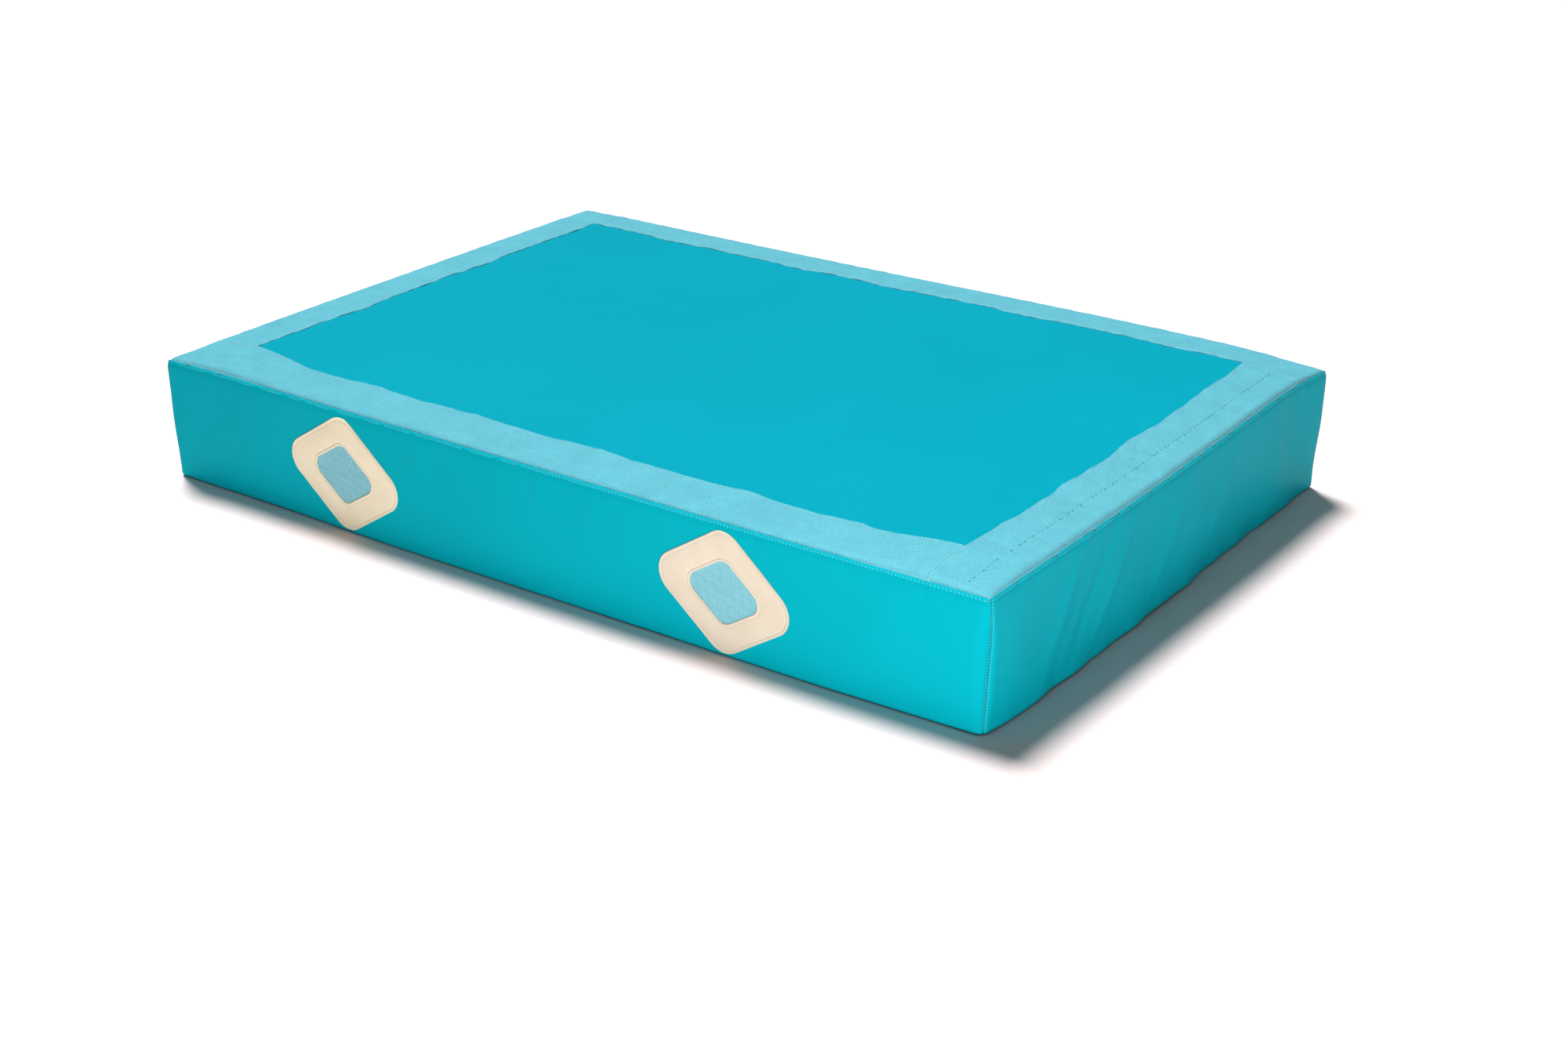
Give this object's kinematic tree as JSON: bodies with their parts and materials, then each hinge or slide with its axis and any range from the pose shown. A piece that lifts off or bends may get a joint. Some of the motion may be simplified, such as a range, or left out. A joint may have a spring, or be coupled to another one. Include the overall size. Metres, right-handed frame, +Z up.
{
  "type": "pressure relief mattress",
  "caption": "Rectangular pressure relief mattress: layered foam core in a wipe-clean teal cover with loop-pile edge bands, diamond mesh vents on one long side and a zip on the other.",
  "frame": {"origin": "centre of the footprint, on the surface that the mattress lies on", "axes": "+X along the long sides towards the end with the lengthways stitched band, +Y across towards the zip side, +Z up"},
  "size_m": [1.54, 1.0782, 0.2197],
  "materials": {
    "cover_fabric": "smooth coated fabric in turquoise, satin",
    "base_fabric": "heavier coated fabric in dark teal, fine dimple grain",
    "loop_band": "matt loop pile in light turquoise with a woven edge",
    "patch_vinyl": "cream vinyl, soft satin, fine grain",
    "vent_mesh": "open warp-knit mesh in pale turquoise",
    "zip_tape": "herringbone woven tape in dark teal",
    "zip_teeth": "moulded plastic in dark teal",
    "zip_metal": "nickel-plated zinc, lightly worn",
    "liner_knit": "off-white knitted stocking fabric",
    "firm_foam": "open-cell polyurethane foam in grey blue, matt",
    "cut_foam": "open-cell polyurethane foam in pale yellow, matt",
    "visco_foam": "viscoelastic foam in cream, matt"
  },
  "bodies": {
    "mattress": {"cover_base": "base_fabric", "side_panel_front": "cover_fabric", "side_panel_back": "cover_fabric", "side_panel_left": "cover_fabric", "side_panel_right": "cover_fabric", "zip_panel_lower": "cover_fabric", "top_panel": "cover_fabric", "loop_band_front": "loop_band", "loop_band_right": "loop_band", "loop_band_back": "loop_band", "loop_band_left": "loop_band", "vent_patch_left": "patch_vinyl", "vent_patch_right": "patch_vinyl", "vent_mesh_left": "vent_mesh", "vent_mesh_right": "vent_mesh", "zip_tape_upper": "zip_tape", "zip_tape_lower": "zip_tape", "zip_teeth_upper": "zip_teeth", "zip_teeth_lower": "zip_teeth", "zip_stop_closed": "zip_metal", "zip_stop_open": "zip_metal", "zip_end_cover_left": "cover_fabric", "zip_end_cover_right": "cover_fabric", "fire_liner": "liner_knit", "foam_base": "firm_foam", "foam_bolster_front": "firm_foam", "foam_bolster_back": "firm_foam", "foam_bolster_left": "firm_foam", "foam_bolster_right": "firm_foam", "foam_castellated_core": "cut_foam", "visco_top_layer": "visco_foam"},
    "zip_slider": {"zip_slider": "zip_metal"},
    "zip_pull": {"zip_pull": "zip_metal"}
  },
  "joints": [
    {"name": "zip_travel", "type": "slide", "parent": "mattress", "child": "zip_slider", "axis": [1, 0, 0], "range_m": [0, 1.336]},
    {"name": "pull_swing", "type": "hinge", "parent": "zip_slider", "child": "zip_pull", "pos_m": [-0.668, 0.53905, 0.048], "axis": [0, 0, 1], "range_deg": [0, 170]}
  ]
}
